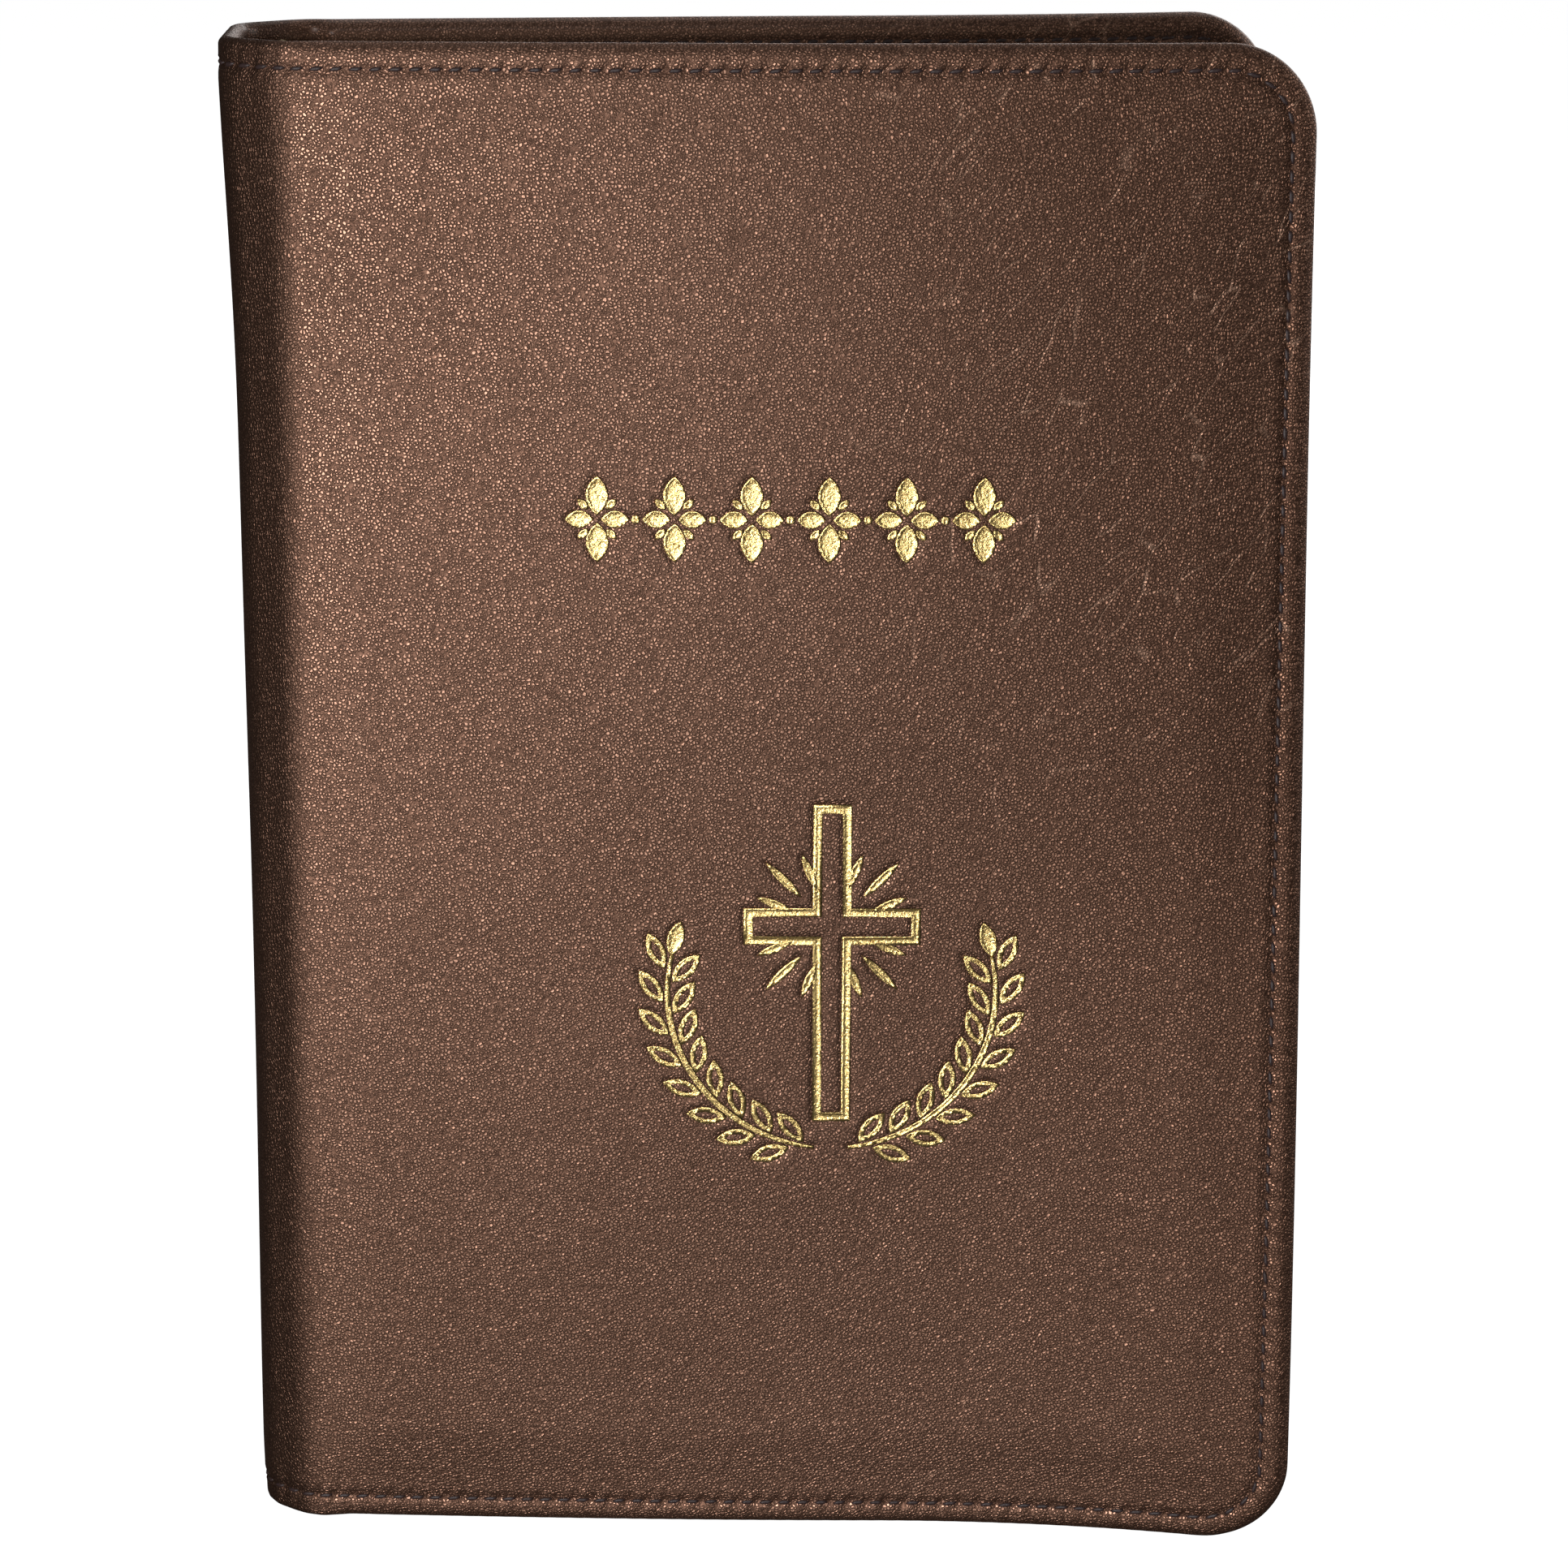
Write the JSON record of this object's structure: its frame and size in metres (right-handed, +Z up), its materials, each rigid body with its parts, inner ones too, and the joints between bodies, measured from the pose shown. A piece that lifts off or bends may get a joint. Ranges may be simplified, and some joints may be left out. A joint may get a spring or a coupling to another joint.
{
  "type": "bible",
  "caption": "Closed limp leather-bound bible with padded covers, perimeter stitching and gilt ornaments; both covers open and the sewn sections fan with them.",
  "frame": {"origin": "on the ground under the middle of the object's box, the book standing on its tail edge", "axes": "+Z up from tail to head, +X from the spine to the fore-edge, -Y out of the front cover"},
  "size_m": [0.1381, 0.0532, 0.2],
  "materials": {
    "leather": "bronze-brown, fine pebble grain, soft satin sheen",
    "thread": "waxed dark brown thread",
    "gilt_foil": "gold foil pressed into the grain",
    "foam": "soft padding",
    "board": "matte flexible card",
    "paper": "thin ivory paper",
    "spine_paper": "matte kraft paper",
    "endpaper": "matte dark brown endpaper",
    "gauze": "open cotton gauze",
    "headband": "silk over cord"
  },
  "bodies": {
    "spine": {"spine_leather": "leather", "spine_inlay": "board", "spine_gauze": "gauze", "spine_lining_paper": "spine_paper", "sewn_folds": "paper", "headband_head": "headband", "headband_tail": "headband", "spine_stitching_head": "thread", "spine_stitching_tail": "thread"},
    "front_cover": {"front_cover_leather": "leather", "front_foam": "foam", "front_board": "board", "front_lining": "endpaper", "front_stitching": "thread", "title_foil": "gilt_foil", "emblem_foil": "gilt_foil"},
    "back_cover": {"back_cover_leather": "leather", "back_foam": "foam", "back_board": "board", "back_lining": "endpaper", "back_stitching": "thread"},
    "front_flyleaf": {"front_flyleaf": "endpaper"},
    "back_flyleaf": {"back_flyleaf": "endpaper"},
    "section_01": {"section_01": "paper"},
    "section_02": {"section_02": "paper"},
    "section_03": {"section_03": "paper"},
    "section_04": {"section_04": "paper"},
    "section_05": {"section_05": "paper"},
    "section_06": {"section_06": "paper"},
    "section_07": {"section_07": "paper"},
    "section_08": {"section_08": "paper"},
    "section_09": {"section_09": "paper"},
    "section_10": {"section_10": "paper"},
    "section_11": {"section_11": "paper"},
    "section_12": {"section_12": "paper"},
    "section_13": {"section_13": "paper"},
    "section_14": {"section_14": "paper"},
    "section_15": {"section_15": "paper"},
    "section_16": {"section_16": "paper"},
    "section_17": {"section_17": "paper"},
    "section_18": {"section_18": "paper"},
    "section_19": {"section_19": "paper"},
    "section_20": {"section_20": "paper"}
  },
  "joints": [
    {"name": "front_cover_hinge", "type": "hinge", "parent": "spine", "child": "front_cover", "pos_m": [-0.06115, -0.0165, 0.1], "axis": [0, 0, -1], "range_deg": [-2.3, 175]},
    {"name": "back_cover_hinge", "type": "hinge", "parent": "spine", "child": "back_cover", "pos_m": [-0.06115, 0.0165, 0.1], "axis": [0, 0, 1], "range_deg": [-2.3, 175]},
    {"name": "front_flyleaf_hinge", "type": "hinge", "parent": "spine", "child": "front_flyleaf", "pos_m": [-0.06095, -0.01225, 0.1], "axis": [0, 0, -1], "range_deg": [-1.43, 86.05]},
    {"name": "back_flyleaf_hinge", "type": "hinge", "parent": "spine", "child": "back_flyleaf", "pos_m": [-0.06095, 0.01225, 0.1], "axis": [0, 0, 1], "range_deg": [-1.43, 86.05]},
    {"name": "section_01_hinge", "type": "hinge", "parent": "spine", "child": "section_01", "pos_m": [-0.06015, -0.0114, 0.1], "axis": [0, 0, -1], "range_deg": [-1.38, 82.55]},
    {"name": "section_02_hinge", "type": "hinge", "parent": "spine", "child": "section_02", "pos_m": [-0.05895, -0.0102, 0.1], "axis": [0, 0, -1], "range_deg": [-1.27, 73.89]},
    {"name": "section_03_hinge", "type": "hinge", "parent": "spine", "child": "section_03", "pos_m": [-0.05775, -0.009, 0.1], "axis": [0, 0, -1], "range_deg": [-1.15, 65.23]},
    {"name": "section_04_hinge", "type": "hinge", "parent": "spine", "child": "section_04", "pos_m": [-0.05655, -0.0078, 0.1], "axis": [0, 0, -1], "range_deg": [-1.04, 56.58]},
    {"name": "section_05_hinge", "type": "hinge", "parent": "spine", "child": "section_05", "pos_m": [-0.05535, -0.0066, 0.1], "axis": [0, 0, -1], "range_deg": [-0.93, 47.92]},
    {"name": "section_06_hinge", "type": "hinge", "parent": "spine", "child": "section_06", "pos_m": [-0.05415, -0.0054, 0.1], "axis": [0, 0, -1], "range_deg": [-0.81, 39.26]},
    {"name": "section_07_hinge", "type": "hinge", "parent": "spine", "child": "section_07", "pos_m": [-0.05295, -0.0042, 0.1], "axis": [0, 0, -1], "range_deg": [-0.7, 30.6]},
    {"name": "section_08_hinge", "type": "hinge", "parent": "spine", "child": "section_08", "pos_m": [-0.05175, -0.003, 0.1], "axis": [0, 0, -1], "range_deg": [-0.58, 21.94]},
    {"name": "section_09_hinge", "type": "hinge", "parent": "spine", "child": "section_09", "pos_m": [-0.05055, -0.0018, 0.1], "axis": [0, 0, -1], "range_deg": [-0.47, 13.29]},
    {"name": "section_10_hinge", "type": "hinge", "parent": "spine", "child": "section_10", "pos_m": [-0.04935, -0.0006, 0.1], "axis": [0, 0, -1], "range_deg": [-0.36, 4.63]},
    {"name": "section_11_hinge", "type": "hinge", "parent": "spine", "child": "section_11", "pos_m": [-0.04935, 0.0006, 0.1], "axis": [0, 0, 1], "range_deg": [-0.36, 4.63]},
    {"name": "section_12_hinge", "type": "hinge", "parent": "spine", "child": "section_12", "pos_m": [-0.05055, 0.0018, 0.1], "axis": [0, 0, 1], "range_deg": [-0.47, 13.29]},
    {"name": "section_13_hinge", "type": "hinge", "parent": "spine", "child": "section_13", "pos_m": [-0.05175, 0.003, 0.1], "axis": [0, 0, 1], "range_deg": [-0.58, 21.94]},
    {"name": "section_14_hinge", "type": "hinge", "parent": "spine", "child": "section_14", "pos_m": [-0.05295, 0.0042, 0.1], "axis": [0, 0, 1], "range_deg": [-0.7, 30.6]},
    {"name": "section_15_hinge", "type": "hinge", "parent": "spine", "child": "section_15", "pos_m": [-0.05415, 0.0054, 0.1], "axis": [0, 0, 1], "range_deg": [-0.81, 39.26]},
    {"name": "section_16_hinge", "type": "hinge", "parent": "spine", "child": "section_16", "pos_m": [-0.05535, 0.0066, 0.1], "axis": [0, 0, 1], "range_deg": [-0.93, 47.92]},
    {"name": "section_17_hinge", "type": "hinge", "parent": "spine", "child": "section_17", "pos_m": [-0.05655, 0.0078, 0.1], "axis": [0, 0, 1], "range_deg": [-1.04, 56.58]},
    {"name": "section_18_hinge", "type": "hinge", "parent": "spine", "child": "section_18", "pos_m": [-0.05775, 0.009, 0.1], "axis": [0, 0, 1], "range_deg": [-1.15, 65.23]},
    {"name": "section_19_hinge", "type": "hinge", "parent": "spine", "child": "section_19", "pos_m": [-0.05895, 0.0102, 0.1], "axis": [0, 0, 1], "range_deg": [-1.27, 73.89]},
    {"name": "section_20_hinge", "type": "hinge", "parent": "spine", "child": "section_20", "pos_m": [-0.06015, 0.0114, 0.1], "axis": [0, 0, 1], "range_deg": [-1.38, 82.55]}
  ],
  "couplings": [
    {"joint": "front_flyleaf_hinge", "follows": "front_cover_hinge", "ratio": 0.49},
    {"joint": "back_flyleaf_hinge", "follows": "back_cover_hinge", "ratio": 0.49},
    {"joint": "section_01_hinge", "follows": "front_cover_hinge", "ratio": 0.47},
    {"joint": "section_02_hinge", "follows": "front_cover_hinge", "ratio": 0.42053},
    {"joint": "section_03_hinge", "follows": "front_cover_hinge", "ratio": 0.37105},
    {"joint": "section_04_hinge", "follows": "front_cover_hinge", "ratio": 0.32158},
    {"joint": "section_05_hinge", "follows": "front_cover_hinge", "ratio": 0.2721},
    {"joint": "section_06_hinge", "follows": "front_cover_hinge", "ratio": 0.22263},
    {"joint": "section_07_hinge", "follows": "front_cover_hinge", "ratio": 0.17316},
    {"joint": "section_08_hinge", "follows": "front_cover_hinge", "ratio": 0.12368},
    {"joint": "section_09_hinge", "follows": "front_cover_hinge", "ratio": 0.074211},
    {"joint": "section_10_hinge", "follows": "front_cover_hinge", "ratio": 0.024737},
    {"joint": "section_11_hinge", "follows": "back_cover_hinge", "ratio": 0.024737},
    {"joint": "section_12_hinge", "follows": "back_cover_hinge", "ratio": 0.074211},
    {"joint": "section_13_hinge", "follows": "back_cover_hinge", "ratio": 0.12368},
    {"joint": "section_14_hinge", "follows": "back_cover_hinge", "ratio": 0.17316},
    {"joint": "section_15_hinge", "follows": "back_cover_hinge", "ratio": 0.22263},
    {"joint": "section_16_hinge", "follows": "back_cover_hinge", "ratio": 0.2721},
    {"joint": "section_17_hinge", "follows": "back_cover_hinge", "ratio": 0.32158},
    {"joint": "section_18_hinge", "follows": "back_cover_hinge", "ratio": 0.37105},
    {"joint": "section_19_hinge", "follows": "back_cover_hinge", "ratio": 0.42053},
    {"joint": "section_20_hinge", "follows": "back_cover_hinge", "ratio": 0.47}
  ]
}
